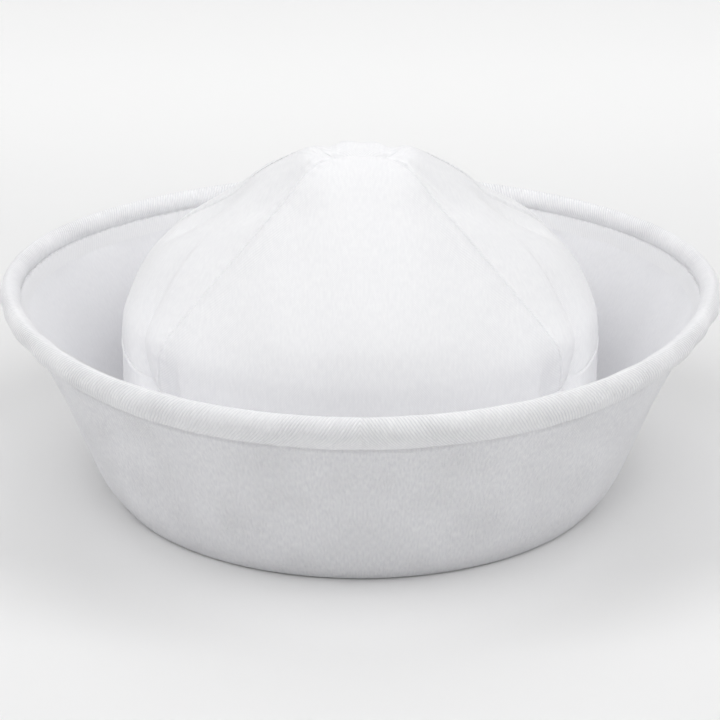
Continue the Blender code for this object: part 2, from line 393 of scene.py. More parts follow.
def ring_faces(count: int, size: int, is_ring: bool = False) -> Array:
    """Faces between like closed sections of points, for a run or for a ring of them.

    Args:
        count: how many sections there are.
        size: how many points each has.
        is_ring: True where the last section is followed by the first one.

    Returns:
        Four point numbers for each face.
    """
    near = np.arange(count if is_ring else count - 1)[:, None] * size
    far = (np.arange(1, len(near) + 1)[:, None] % count) * size
    place = np.arange(size)[None, :]
    after = (place + 1) % size
    return stack(near + place, near + after, far + after, far + place).reshape(-1, 4)


def cloth_mesh(name: str, points: list, faces: list, weave: Array) -> bpy.types.Mesh:
    """A mesh whose points carry their places on the cloth and how much of the weave shows there.

    Args:
        name: name of the mesh.
        points: its points.
        faces: point numbers of its faces.
        weave: place across, place up and share of the weave for each point.

    Returns:
        The mesh.
    """
    mesh = bpy.data.meshes.new(name)
    mesh.from_pydata(points, [], faces)
    places = mesh.attributes.new(WEAVE_MAP, "FLOAT_VECTOR", "POINT")
    places.data.foreach_set("vector", weave.astype(np.float32).ravel())
    return mesh


@dataclass(frozen=True)
class BleachedTwill:
    """Bleached cotton twill, woven with a diagonal rib, washed once and pressed.

    It is a matt, slightly cool white. The ribs catch a raking light as fine diagonal lines, thicker yarns
    show as short slubs, and the loose fibres on its face give a faint sheen at the edges. The valleys
    between the ribs take a colour of their own, which is painted shading.
    """

    name: str
    rib_spacing: float
    rib_angle: float
    rib_relief: float
    slub_length: float
    slub_relief: float
    cloth: str
    # Colour of the rib valleys: painted shading, darker than the cloth on the crown and the roll
    painted_rib_shading: str
    slub: str = "FCFCFD"
    press_size: float = 22.0 * MM
    roughness: float = 0.88
    sheen: float = 0.12

    def material(self) -> bpy.types.Material:
        """The finish as a node material whose patterns are laid out on the cloth in metres.

        Returns:
            The material.
        """
        made, tree, shader = new_finish(self.name, {
            "Roughness": self.roughness, "IOR": 1.47, "Metallic": 0.0, "Sheen Weight": self.sheen,
            "Sheen Roughness": 0.5, "Specular IOR Level": 0.25})
        add = partial(add_node, tree)
        place = add("Attribute", "Vector", {"attribute_name": WEAVE_MAP}, {})
        shown = add("SeparateXYZ", "Z", {}, {"Vector": place})
        flat = add("Mapping", "Vector", {"Scale": (1.0, 1.0, 0.0)}, {"Vector": place})
        turn = math.radians(self.rib_angle - 90.0)
        turned = add("Mapping", "Vector", {"Rotation": (0, 0, turn)}, {"Vector": flat})
        ribs = add("TexWave", "Fac", {"Scale": WAVE_PERIOD / self.rib_spacing, "Distortion": 2.6,
                                      "Detail": 3.0, "Detail Scale": 0.5}, {"Vector": turned})
        # Slubs are thick places in the upright yarns: a few times longer than they are wide.
        stretched = add("Mapping", "Vector", {"Scale": (1.0, 0.25, 1.0)}, {"Vector": flat})
        slubs = add("TexNoise", "Fac", {"Scale": 4.0 / self.slub_length, "Detail": 3.0, "Roughness": 0.65},
                    {"Vector": stretched})
        # Fibres and the crossing yarns are about half a rib apart.
        grain = add("TexNoise", "Fac", {"Scale": 1.1 / self.rib_spacing, "Detail": 2.0, "Roughness": 0.7},
                    {"Vector": flat})
        # Pressing and wear flatten the ribs in patches a few centimetres wide.
        pressed = add("TexNoise", "Fac", {"Scale": 1.0 / self.press_size, "Detail": 1.0}, {"Vector": flat})
        kept = add("MapRange", "Result", {"From Min": 0.3, "From Max": 0.7, "To Min": 0.35},
                   {"Value": pressed})
        strength = add("Math", "Value", {"operation": "MULTIPLY"}, {0: shown, 1: kept})

        # The slubs are a shade whiter. The valleys between the ribs are mixed towards their own colour:
        # painted shade, darker on the crown and the roll, and a shade lighter on the brim's wall.
        tone = add("MapRange", "Result", {"From Min": 0.35, "From Max": 0.7}, {"Value": slubs})
        streaked = add("Mix", 0, {"data_type": "FLOAT", 2: 0.6}, {0: shown, 3: tone})
        body = add("Mix", 2, {"data_type": "RGBA", 6: srgb(self.cloth), 7: srgb(self.slub)}, {0: streaked})
        # Painted shade: the share of the valley colour that each place between the ribs takes
        painted_rib_shading_mask = add("MapRange", "Result", {"From Min": 0.55, "From Max": 0.0}, {"Value": ribs})
        depth = add("Math", "Value", {"operation": "MULTIPLY"}, {0: painted_rib_shading_mask, 1: strength})
        colour_with_painted_shading = add("Mix", 2, {"data_type": "RGBA", 7: srgb(self.painted_rib_shading)}, {0: depth, 6: body})
        tree.links.new(colour_with_painted_shading, shader.inputs["Base Color"])

        reliefs = ((grain, 0.8 * self.rib_relief), (slubs, self.slub_relief), (ribs, self.rib_relief))
        normal = None
        for height, distance in reliefs:
            links = {"Height": height, "Strength": strength}
            if normal is not None:
                links["Normal"] = normal
            normal = add("Bump", "Normal", {"Distance": distance}, links)
        tree.links.new(normal, shader.inputs["Normal"])
        return made


@dataclass(frozen=True)
class CottonThread:
    """Mercerised cotton sewing thread, spun from two plies: a little smoother and brighter than the cloth."""

    name: str = "white_cotton_thread"
    colour: str = "F6F6F8"
    ply_spacing: float = 0.45 * MM

    def material(self) -> bpy.types.Material:
        """The finish as a node material with the twist of the plies.

        Returns:
            The material.
        """
        made, tree, shader = new_finish(self.name, {
            "Base Color": srgb(self.colour), "Roughness": 0.7, "IOR": 1.5, "Sheen Weight": 0.1})
        place = add_node(tree, "Attribute", "Vector", {"attribute_name": WEAVE_MAP}, {})
        waves = {"bands_direction": "DIAGONAL", "Scale": WAVE_PERIOD / self.ply_spacing}
        plies = add_node(tree, "TexWave", "Fac", waves, {"Vector": place})
        twist = add_node(tree, "Bump", "Normal", {"Strength": 0.6, "Distance": 0.05 * MM}, {"Height": plies})
        tree.links.new(twist, shader.inputs["Normal"])
        return made


# Rib spacings are measured on the cloth. The true weave is finer than the picture can show, so the ribs are
# drawn as wide as the photograph shows them.
CROWN_TWILL = BleachedTwill("crown_bleached_twill", 0.62 * MM, 50.0, 0.008 * MM, 4.0 * MM, 0.05 * MM,
                            cloth="F5F5F7", painted_rib_shading="F1F1F3")
# The brim's wall is a shaded copy of the same twill: its cloth is painted a darker white, as painted shade of
# the wall that faces down, away from the light. Its rib valleys are a shade lighter than its cloth.
SHADED_CUFF_TWILL = BleachedTwill("brim_twill_painted_shade", 0.68 * MM, 50.0, 0.030 * MM, 3.0 * MM, 0.80 * MM,
                           cloth="EAEAEE", painted_rib_shading="EDEDF0")
# The roll's rib valleys are painted much darker than its cloth: painted shade, which also darkens the roll as
# a whole.
ROLL_TWILL = BleachedTwill("roll_bleached_twill", 1.10 * MM, 58.0, 0.17 * MM, 5.0 * MM, 0.12 * MM,
                           cloth="F3F3F5", painted_rib_shading="E3E3E7")
THREAD = CottonThread()


@dataclass
class ClothPiece:
    """Turns sections of points into one closed mesh and makes it a piece of the cap."""

    name: str
    slot: MaterialSlot
    body: bpy.types.Object | None = None

    def loft(self, sections: Array, weave: Array, is_ring: bool) -> bpy.types.Object:
        """One closed body through like closed sections.

        Args:
            sections: points by section, place in the section and coordinate. A section of a run lists the
                outside from foot to top and then the inside back down.
            weave: places on the cloth in metres, and how much of the weave shows, laid out like the sections.
            is_ring: True where the last section is followed by the first one.

        Returns:
            The new object.
        """
        count, size = sections.shape[:2]
        faces = ring_faces(count, size, is_ring)
        if not is_ring:
            half = np.arange(size // 2 - 1)
            cap = stack(half, half + 1, size - half - 2, size - half - 1)
            faces = np.concatenate([faces, cap, cap + (count - 1) * size])
        places = np.ones((count * size, 3))
        places[:, :weave.shape[-1]] = weave.reshape(-1, weave.shape[-1])
        mesh = cloth_mesh(self.name, sections.reshape(-1, 3).tolist(), faces.tolist(), places)
        shape = bmesh.new()
        shape.from_mesh(mesh)
        bmesh.ops.remove_doubles(shape, verts=shape.verts, dist=WELD_DISTANCE)
        bmesh.ops.recalc_face_normals(shape, faces=shape.faces)
        shape.to_mesh(mesh)
        shape.free()
        mesh.shade_smooth()
        mesh.set_sharp_from_angle(angle=SHARP_ANGLE)
        self.body = new_body(self.name, mesh)
        return self.body

    def dress(self, finish: BleachedTwill | CottonThread, *nodes: str) -> None:
        """Gives the piece its finish, lets it ride on the cap and stand for its solids.

        Args:
            finish: what it is made of.
            nodes: names of the solids that it stands for.
        """
        self.body.data.materials.append(bpy.data.materials.get(finish.name) or finish.material())
        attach(self.body, BODY)
        if nodes:
            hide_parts(*nodes)
        LOG.info("%s: %d faces", self.name, len(self.body.data.polygons))


@dataclass
class StitchRow:
    """A row of sewn stitches, each one a short bowed length of thread whose ends dive into the cloth."""

    name: str
    slot: MaterialSlot
    length: float = 2.1 * MM
    pitch: float = 2.9 * MM
    thickness: float = 0.34 * MM
    sink: float = 0.16 * MM
    blunt_end: float = 0.12
    sides: int = 6
    stations: int = 6

    def stitches(self, points: Array, normals: Array) -> tuple[Array, Array]:
        """Centre points and normals of each stitch along one run, by stitch and station.

        Args:
            points: points along the run.
            normals: the cloth's normals there.

        Returns:
            The centre points and the normals.
        """
        lengths = arc_lengths(points)
        count = max(1, int(lengths[-1] / self.pitch))
        starts = (np.arange(count) + 0.5) * lengths[-1] / count - self.length / 2.0
        at = starts[:, None] + np.linspace(0.0, self.length, self.stations)[None, :]
        centre, normal = (stack(*(np.interp(at, lengths, axis) for axis in values.T))
                          for values in (points, normals))
        normal = unit(normal)
        bow = np.sin(np.linspace(0.0, math.pi, self.stations))
        lift = mix(-self.thickness / 2.0, self.thickness / 2.0, bow) - self.sink
        return centre + normal * lift[None, :, None], normal

    def make(self, *runs: tuple[Array, Array]) -> None:
        """Builds the row's mesh and dresses it.

        Args:
            runs: lines of points on the cloth, each with the cloth's normals there.
        """
        vertices, faces, weave = [], [], []
        quads, end = ring_faces(self.stations, self.sides), np.arange(self.sides)
        turns = np.linspace(0.0, 2.0 * math.pi, self.sides, endpoint=False)
        taper = np.linspace(self.blunt_end, math.pi - self.blunt_end, self.stations)
        girth = self.thickness / 2.0 * np.sqrt(np.clip(np.sin(taper), 0, 1))
        for points, normals in runs:
            centres, normals = self.stitches(points, normals)
            along = unit(np.gradient(centres, axis=1))
            across = unit(np.cross(along, normals))
            up = np.cross(across, along)
            ring = (centres[:, :, None] + girth[None, :, None, None]
                    * (across[:, :, None] * np.cos(turns)[:, None] + up[:, :, None] * np.sin(turns)[:, None]))
            run = np.broadcast_to(np.linspace(0.0, self.length, self.stations)[:, None], ring.shape[1:3])
            around = np.broadcast_to(turns * self.thickness / 2.0, ring.shape[1:3])
            for stitch in ring:
                first = len(vertices)
                vertices.extend(stitch.reshape(-1, 3).tolist())
                weave.extend(stack(run, around, 0 * run).reshape(-1, 3).tolist())
                faces.extend((quads + first).tolist())
                faces.append((end[::-1] + first).tolist())
                faces.append((end + first + (self.stations - 1) * self.sides).tolist())
        mesh = cloth_mesh(self.name, vertices, faces, np.array(weave))
        mesh.shade_smooth()
        ClothPiece(self.name, self.slot, new_body(self.name, mesh)).dress(THREAD)


@dataclass(frozen=True)
class Gore:
    """One cut panel of the crown between two seams, whose azimuths are its start and end.

    The padding and the strip are the shares that it has of the padded ridge and of the felled strip. The
    columns are its points across.
    """

    name: str
    start: float
    end: float
    profiles: tuple[Profile, Profile, Profile]
    padding: float
    strip: float
    columns: int
    ribs: RibLay


FRONT_SEAM = 58.0
REAR_SEAM = 120.0
GORES = (
    Gore("crown_front_gore", -FRONT_SEAM, FRONT_SEAM,
         (Profile.FRONT_SEAM, Profile.FRONT, Profile.FRONT_SEAM), 0.6, 0.0, 200, RibLay.MIRRORED),
    Gore("crown_right_gore", FRONT_SEAM, REAR_SEAM,
         (Profile.FRONT_SEAM, Profile.SIDE, Profile.REAR_SEAM), 0.0, 0.0, 150, RibLay.STEEP),
    Gore("crown_back_gore", REAR_SEAM, 360.0 - REAR_SEAM,
         (Profile.REAR_SEAM, Profile.BACK, Profile.REAR_SEAM), 1.0, 1.0, 200, RibLay.MIRRORED),
    Gore("crown_left_gore", 360.0 - REAR_SEAM, 360.0 - FRONT_SEAM,
         (Profile.REAR_SEAM, Profile.SIDE, Profile.FRONT_SEAM), 0.0, 0.0, 150, RibLay.STEEP),
)


@dataclass
class Crown:
    """The crown: four gores that meet in a short top seam, and the upright band that they are sewn to."""

    cloth: float = 1.8 * MM
    seam_gap: float = 0.05 * MM
    half_width: float = 94.5 * MM
    front_reach: float = 86.0 * MM
    back_reach: float = 88.0 * MM
    band_top: float = 54.3 * MM
    side_lift: float = 6.0 * MM
    lift_power: int = 10
    lift_fade: float = 0.3
    rise: float = CROWN_RISE
    top_seam_half: float = 10.0 * MM
    top_seam_forward: float = 5.8 * MM
    # The padded ridge beside the rear seams
    ridge_height: float = 2.2 * MM
    ridge_middle: float = 6.0 * MM
    ridge_spread: float = 4.5 * MM
    ridge_run_in: float = 0.25
    ridge_end: Pair = (0.60, 0.97)
    # The groove of a seam, and from which climb to which it closes and by how much
    groove_depth: float = 0.95 * MM
    groove_width: float = 0.50 * MM
    front_closing: Triple = (0.92, 0.99, 0.80)
    rear_closing: Triple = (0.60, 0.82, 0.95)
    # The felled strip beside the rear seams, the line of the top seam and the felled edge behind it
    strip_height: float = 0.35 * MM
    strip_span: Quadruple = (0.1 * MM, 0.5 * MM, 2.0 * MM, 2.6 * MM)
    top_line_depth: float = 0.45 * MM
    top_line_width: float = 0.6 * MM
    felled_height: float = 0.40 * MM
    felled_back: float = 2.0 * MM
    felled_width: float = 1.1 * MM
    # Hollows behind the top seam: (across, back), (half width, half length) and depth
    top_hollows: tuple[tuple[Pair, Pair, float], ...] = (
        ((12.3 * MM, 8.0 * MM), (3.8 * MM, 13.0 * MM), 1.8 * MM),
        ((0.0, 9.0 * MM), (4.2 * MM, 9.0 * MM), 0.7 * MM),
        ((7.0 * MM, -1.5 * MM), (1.6 * MM, 2.6 * MM), 0.35 * MM))
    pucker_depth: float = 0.10 * MM
    pucker_pitch: float = 4.4 * MM
    pucker_reach: float = 3.6 * MM
    pucker_stray: float = 1.7
    pucker_stray_length: float = 9.0 * MM
    # How far the gores' feet are tucked in, and up to which climb
    edge_roll: float = 0.30 * MM
    edge_roll_end: float = 0.018
    # Ripples of the cloth: depth, and lengths across and up
    gore_ripple: Triple = (0.30 * MM, 46.0 * MM, 60.0 * MM)
    band_ripple: Triple = (0.25 * MM, 52.0 * MM, 90.0 * MM)
    # The band's top edge stands proud of the gores, and its corner is rounded: heights and widths
    proud: Pair = (0.45 * MM, 1.6 * MM)
    corner: Pair = (0.40 * MM, 0.35 * MM)
    band_foot_radius: float = 95.1 * MM
    band_foot: float = 2.7 * MM
    rows: int = 130
    band_columns: int = 360
    band_rows: int = 44
    # Rows and columns stand closer together near the seams
    crowding: float = 0.45
    row_crowding: float = 0.35
    band_crowding: float = 1.7
    steep_turn: float = 38.0
    sewn_share: float = 0.8
    seams: dict[str, tuple[Array, Array]] = field(default_factory=dict)

    def band_edge(self, azimuth: Array) -> Array:
        """Plan points on the outside of the crown where the gores meet the band."""
        radius = oval_radius(azimuth, self.half_width, self.front_reach, self.back_reach)
        return heading(azimuth) * radius[..., None]

    def band_lift(self, azimuth: Array) -> Array:
        """How much higher the band's top is than at the front. It rises towards the sides."""
        return self.side_lift * np.abs(heading(azimuth)[..., 0]) ** self.lift_power

    def seam_end(self, azimuth: float) -> Array:
        """Plan point of the top seam's end on the side of an azimuth."""
        side = 1.0 if heading(np.array(azimuth))[0] > 0.0 else -1.0
        return np.array([side * self.top_seam_half, -self.top_seam_forward])

    def top_corners(self, gore: Gore) -> tuple[Array, Array]:
        """Plan corners of a gore at the top seam, moved in by half a seam gap from its edges.

        Args:
            gore: the panel.

        Returns:
            The corners on its start and end sides.
        """
        start, end = self.seam_end(gore.start), self.seam_end(gore.end)
        seams = [unit(self.band_edge(np.array(edge)) - tip)
                 for edge, tip in ((gore.start, start), (gore.end, end))]
        if np.allclose(start, end):
            edges = (seams[1], seams[0])
        else:
            along = unit(end - start)
            edges = (along, -along)
        corners = []
        for tip, seam, edge in zip((start, end), seams, edges):
            spread = abs(seam[0] * edge[1] - seam[1] * edge[0])
            corners.append(tip + (seam + edge) * self.seam_gap / 2.0 / spread)
        return corners[0], corners[1]

    def folds(self, azimuth: Array, climb: Array) -> Array:
        """How far all folds and creases move the cloth out at a place."""
        return sum(fold.push(from_front(azimuth), climb) for fold in FOLDS)

    def seam_relief(self, gore: Gore, rear: Array, distance: Array, climb: Array,
                    run: Array) -> Array:
        """Relief beside a seam: the padded ridge of its allowance, its strip, its groove and its puckers.

        Args:
            gore: the panel.
            rear: 1 for each column whose nearest seam is a rear one, otherwise 0.
            distance: plan distances from the nearest seam.
            climb: climbs of the same points.
            run: lengths up the seam, for the puckers.

        Returns:
            How far the cloth is moved out.
        """
        fade = np.minimum(1.0, climb / self.ridge_run_in) * (1.0 - smooth_step(*self.ridge_end, climb))
        ridge = bump(distance - self.ridge_middle, self.ridge_spread)
        relief = self.ridge_height * gore.padding * fade * ridge
        strip = window(*self.strip_span, distance)
        # The rear seams close up where they reach the top seam, and the front ones only at its ends.
        closings = [1.0 - share * smooth_step(low, high, climb)
                    for low, high, share in (self.front_closing, self.rear_closing)]
        closing = mix(*closings, rear[:, None])
        groove = self.groove_depth * bump(distance, self.groove_width) * smooth_step(0.0, 0.03, climb)
        strip = self.strip_height * gore.strip * strip * smooth_step(0.0, 0.1, climb)
        relief += (strip - groove) * closing
        # The top seam is a fine line, and the felled edge behind it stands up a little.
        from_top = (1.0 - climb) * self.rise
        if gore.padding:
            relief -= self.top_line_depth * bump(from_top, self.top_line_width)
        relief += self.felled_height * gore.strip * bump(from_top - self.felled_back, self.felled_width)
        stray = self.pucker_stray * np.sin(run / self.pucker_stray_length + gore.start)
        sway = np.sin(2.0 * math.pi * run / self.pucker_pitch + stray)
        reach = distance / self.pucker_reach
        relief += self.pucker_depth * sway * reach * np.exp(1.0 - reach ** 2) * smooth_step(0.02, 0.12, climb)
        return relief

    def top_relief(self, plan: Array) -> Array:
        """The lump behind the top seam: a hollow at each end of it, a dip in its middle and small gathers.

        Args:
            plan: plan points.

        Returns:
            How far the cloth is moved out, which is below zero.
        """
        mirrored = stack(np.abs(plan[..., 0]), plan[..., 1])
        total = np.zeros(plan.shape[:-1])
        for place, size, depth in self.top_hollows:
            total -= depth * np.exp(-np.sum(((mirrored - place) / size) ** 2, axis=-1))
        return total

    def gore_sheet(self, gore: Gore, sides: Array,
                   climbs: Array) -> tuple[Array, Array, Array]:
        """Points, normals and weave places on the outside of a gore.

        Args:
            gore: the panel.
            sides: places across the gore, from -1 at its start to 1 at its end.
            climbs: places up the gore, from 0 at the band to 1 at the top seam.

        Returns:
            Points and normals by column, row and coordinate, and weave places in metres.
        """
        share = (sides + 1.0) / 2.0
        azimuth = mix(gore.start, gore.end, share)
        corners = self.top_corners(gore)
        top = mix(corners[0][None, :], corners[1][None, :], share[:, None])
        edge = self.band_edge(azimuth)
        spoke = unit(edge - top)
        foot = edge + stack(spoke[:, 1], -spoke[:, 0]) * (sides * self.seam_gap / 2.0)[:, None]
        spoke, length = unit(foot - top), np.linalg.norm(foot - top, axis=-1)

        lines = through(CROWN_STATIONS, climbs)
        weights = (sides * (sides - 1.0) / 2.0, 1.0 - sides ** 2, sides * (sides + 1.0) / 2.0)
        blend = sum(weight[:, None, None] * lines[None, :, profile.value]
                    for weight, profile in zip(weights, gore.profiles))
        reach = blend[..., 0] * length[:, None]
        height = mix(self.band_top + self.seam_gap / 2.0, self.band_top + self.rise, blend[..., 1])
        lifted = np.maximum(0.0, 1.0 - blend[..., 1] / self.lift_fade) ** 2
        height = height + self.band_lift(azimuth)[:, None] * lifted
        run, lift = np.gradient(reach, axis=1), np.gradient(height, axis=1)
        size = np.hypot(run, lift)
        out, up = lift / size, -run / size
        to_top = smooth_step(0.90, 1.0, climbs)[None, :]
        to_foot = 1.0 - smooth_step(0.0, 0.06, climbs)[None, :]
        out, up = mix(mix(out, 0.0, to_top), 1.0, to_foot), mix(mix(up, 1.0, to_top), 0.0, to_foot)
        size = np.hypot(out, up)
        out, up = out / size, up / size

        plan = top[:, None] + spoke[:, None] * reach[..., None]
        nearest = np.where(sides < 0.0, gore.start, gore.end)
        tips = np.array([self.seam_end(edge) for edge in nearest])
        seam = unit(self.band_edge(nearest) - tips)
        offset = plan - tips[:, None]
        distance = np.abs(offset[..., 0] * seam[:, None, 1] - offset[..., 1] * seam[:, None, 0])
        ups = arc_lengths(stack(reach, height))
        climb = np.broadcast_to(climbs[None, :], reach.shape)
        rear = np.where(from_front(nearest) > 90.0, 1.0, 0.0)
        push = (self.folds(azimuth[:, None], climb) + self.seam_relief(gore, rear, distance, climb, ups)
                + self.top_relief(plan))
        middle = heading(np.array((gore.start + gore.end) / 2.0))
        level = plan @ np.array([-middle[1], middle[0]])
        # The ripples stay away from the seams.
        calm = smooth_step(0.0, 6.0 * MM, distance) * window(0.0, 0.1, 0.85, 1.0, climb)
        push = push + Ripple(*self.gore_ripple, int(gore.start) % 97).push(level, ups) * calm
        push = push - self.edge_roll * (1.0 - smooth_step(0.0, self.edge_roll_end, climb))
        reach, height = reach + out * push, height + up * push
        plan = top[:, None] + spoke[:, None] * reach[..., None]
        points = join(plan, height[..., None])
        normals = join(spoke[:, None] * out[..., None], up[..., None])
        if gore.ribs is RibLay.MIRRORED:
            return points, normals, stack(np.abs(level), ups)
        back = level * (-1.0 if middle[0] < 0.0 else 1.0)
        turn = math.radians(self.steep_turn)
        sine, cosine = math.sin(turn), math.cos(turn)
        return points, normals, stack(back * cosine - ups * sine, back * sine + ups * cosine)

    def make_gore(self, gore: Gore) -> None:
        """Builds and dresses one gore, and keeps the lines that its seams are sewn along.

        Args:
            gore: the panel.
        """
        even = np.linspace(-1.0, 1.0, gore.columns + 1)
        sides = even * (1.0 + self.crowding * (1.0 - even ** 2))
        rows = np.linspace(0.0, 1.0, self.rows)
        climbs = rows - self.row_crowding * np.sin(2.0 * math.pi * rows) / (2.0 * math.pi)
        outside, normals, weave = self.gore_sheet(gore, sides, climbs)
        inside = outside - normals * self.cloth
        sections = np.concatenate([outside, inside[:, ::-1]], axis=1)
        piece = ClothPiece(gore.name + "_cloth", MaterialSlot.CROWN)
        body = piece.loft(sections, np.concatenate([weave, weave[:, ::-1]], axis=1), False)
        width = float(arc_lengths(outside[:, 0])[-1])
        length = float(arc_lengths(outside[gore.columns // 2])[-1])
        piece.dress(CROWN_TWILL, gore.name)
        area = grid_area(outside)
        LOG.info("%s: cut %.0f x %.0f mm, %.4f m2", gore.name, width / MM, length / MM, area)
        self.seams[gore.name + ":start"] = (outside[0], normals[0])
        self.seams[gore.name + ":end"] = (outside[-1], normals[-1])

    def make_band(self) -> None:
        """Builds and dresses the upright band under the gores."""
        azimuth = turn_of(self.band_columns)
        share = 1.0 - (1.0 - np.linspace(0.0, 1.0, self.band_rows)) ** self.band_crowding
        top = oval_radius(azimuth, self.half_width, self.front_reach, self.back_reach)
        radius = mix(self.band_foot_radius, top[:, None], share[None, :])
        edge = self.band_top + self.band_lift(azimuth) - self.seam_gap / 2.0
        height = mix(self.band_foot, edge[:, None], share[None, :])
        climb = np.broadcast_to(share - 1.0, radius.shape)
        level = np.radians(from_front(azimuth)) * self.half_width
        push = self.folds(azimuth[:, None], climb)
        push = push + Ripple(*self.band_ripple, 5).push(level[:, None], height) * (1.0 - share)
        from_top = (1.0 - share) * self.band_top
        lip, cut = (tall * bump(from_top, wide) for tall, wide in (self.proud, self.corner))
        outer = radius + push + (lip - cut)[None, :]
        loop = np.concatenate([outer, (outer - self.cloth)[:, ::-1]], axis=1)
        rises = np.concatenate([height, height[:, ::-1]], axis=1)
        sections = join(heading(azimuth)[:, None] * loop[..., None], rises[..., None])
        levels = np.broadcast_to(level[:, None], rises.shape)
        piece = ClothPiece("crown_band_cloth", MaterialSlot.CROWN)
        body = piece.loft(sections, stack(levels, rises), True)
        piece.dress(CROWN_TWILL, "crown_band")
        around = float(arc_lengths(np.concatenate([sections[:, 0], sections[:1, 0]]))[-1])
        outside = sections[:, self.band_rows - 2]
        normals = join(heading(azimuth), np.zeros((len(azimuth), 1)))
        self.seams["band"] = (np.concatenate([outside, outside[:1]]), np.concatenate([normals, normals[:1]]))

    def sew(self) -> None:
        """Sews the crown's seams."""
        kept = int(self.sewn_share * self.rows)
        runs = [(points[:kept], normals[:kept]) for name, (points, normals) in self.seams.items()
                if name.startswith(("crown_front_gore", "crown_back_gore"))]
        StitchRow("crown_seam_stitches", MaterialSlot.CROWN, thickness=0.28 * MM, sink=-0.10 * MM).make(*runs)
        StitchRow("band_seam_stitches", MaterialSlot.CROWN, sink=0.10 * MM).make(self.seams["band"])

    def make(self) -> None:
        """Builds the crown."""
        for gore in GORES:
            self.make_gore(gore)
        self.make_band()
        self.sew()


@dataclass
class Brim:
    """The turned-up brim: a flared wall that is folded at its foot, and a stuffed roll at its rim."""

    cloth: float = 2.4 * MM
    crown_cloth: float = 1.8 * MM
    gap: float = 0.3 * MM
    base_radius: float = 97.8 * MM
    rim_half_width: float = 135.6 * MM
    rim_half_depth: float = 132.4 * MM
    rim_power: float = 1.93
    rim_height: float = 74.6 * MM
    side_lift: float = 4.5 * MM
    back_lift: float = 0.3 * MM
    lift_power: int = 4
    roll_height: float = 15.8 * MM
    roll_thickness: float = 6.6 * MM
    tucked_in: float = 2.0 * MM
    columns: int = 480
    roll_columns: int = 900
    roll_steps: int = 34
    wall_rows: int = 58
    # Places on the cloth are laid out round these radii.
    wall_weave_radius: float = 112.0 * MM
    roll_weave_radius: float = 134.0 * MM
    # The wall's waves (depth, count and phase), its ripple, the share of them that its outside has, and how
    # far the sewing draws it in under the roll
    wall_waves: Triple = (0.40 * MM, 13.0, 0.8)
    wall_ripple: Triple = (0.32 * MM, 38.0 * MM, 120.0 * MM)
    outside_share: float = 0.6
    drawn_in: float = 0.85 * MM
    drawn_width: float = 1.3 * MM
    # The first rows of the wall give way to the fold.
    fold_row: int = 3
    fold_steps: int = 7
    floor_columns: int = 5
    ledge_columns: int = 6
    # How much of the weave shows on the inside of the wall and of the roll
    faint_wall: float = 0.3
    faint_roll: float = 0.35
    # The ripple of the roll's stuffing, which grows with its bulge
    stuffing: Triple = (0.22 * MM, 30.0 * MM, 60.0 * MM)
    swell_power: float = 1.5
    # Gathers at the inner sewing and puckers of the hem: depth, pitch, stray and its length, and the middle
    # and width of each in shares of half the roll's height
    gathers: Quadruple = (0.20 * MM, 4.6 * MM, 1.5, 13.0 * MM)
    gathers_at: Pair = (-0.02, 0.16)
    puckers: Quadruple = (0.12 * MM, 6.1 * MM, 2.0, 20.0 * MM)
    puckers_at: Pair = (-0.72, 0.20)
    wall_stations: tuple[Pair, ...] = (
        (0.00, 0.00), (0.12, 0.19), (0.30, 0.345), (0.55, 0.545), (0.80, 0.785), (1.00, 1.00))
    # Shares of half the roll's height and of half its thickness, from its foot to its crest and back down
    roll_outside: tuple[Pair, ...] = (
        (-1.0, 0.36), (-0.96, 0.38), (-0.91, 0.52), (-0.8, 0.68), (-0.62, 0.86), (-0.4, 1.06), (-0.14, 1.27),
        (0.12, 1.42), (0.36, 1.47), (0.57, 1.38), (0.75, 1.14), (0.89, 0.78), (0.97, 0.38), (1.0, 0.0))
    roll_inside: tuple[Pair, ...] = (
        (1.0, 0.0), (0.98, 0.2), (0.93, 0.4), (0.82, 0.6), (0.64, 0.8), (0.44, 0.9), (0.26, 0.88),
        (0.12, 0.74), (0.03, 0.5), (-0.02, 0.26), (-0.07, 0.28), (-0.14, 0.42), (-0.4, 0.44), (-0.7, 0.4),
        (-1.0, 0.36))

    def wall_line(self, azimuth: Array) -> Array:
        """Middle line of the wall from the base to the middle of the roll, as (radius, height).

        Args:
            azimuth: azimuths round the brim.

        Returns:
            Places by azimuth and station.
        """
        base = self.base_radius - self.cloth / 2.0
        depth = self.rim_half_depth
        rim = oval_radius(azimuth, self.rim_half_width, depth, depth, self.rim_power)
        across, back = np.moveaxis(heading(azimuth), -1, 0)
        height = self.rim_height + self.side_lift * across ** self.lift_power + self.back_lift * back
        rises, reaches = np.array(self.wall_stations).T
        radius = mix(base, rim[:, None], reaches[None, :])
        return stack(radius, height[:, None] * rises[None, :])

    def roll_frame(self, azimuth: Array) -> tuple[Array, Array, Array]:
        """Middle of the roll, the way up its height and the way out of the cap, as (radius, height).

        Args:
            azimuth: azimuths round the brim.

        Returns:
            The middle, the way up and the way out at each azimuth.
        """
        line = self.wall_line(azimuth)
        along = unit(line[:, -1] - line[:, -2])
        return line[:, -1], along, stack(along[:, 1], -along[:, 0])

    def turned(self, sections: Array, azimuth: Array) -> Array:
        """Sections of (radius, height) placed at their azimuths."""
        plan = heading(azimuth)[:, None] * sections[..., :1]
        return join(plan, sections[..., 1:])

    def level_place(self, azimuth: Array, radius: float) -> Array:
        """Distance round the brim from the middle of the front, the same on the left and the right."""
        return np.radians(from_front(azimuth)) * radius

    def tucks(self, signed: Array, sizes: Quadruple) -> Array:
        """Even tucks of a depth and pitch round the rim, which stray a little from their places."""
        depth, pitch, stray, stray_length = sizes
        return depth * np.sin(2.0 * math.pi * signed / pitch + stray * np.sin(signed / stray_length))

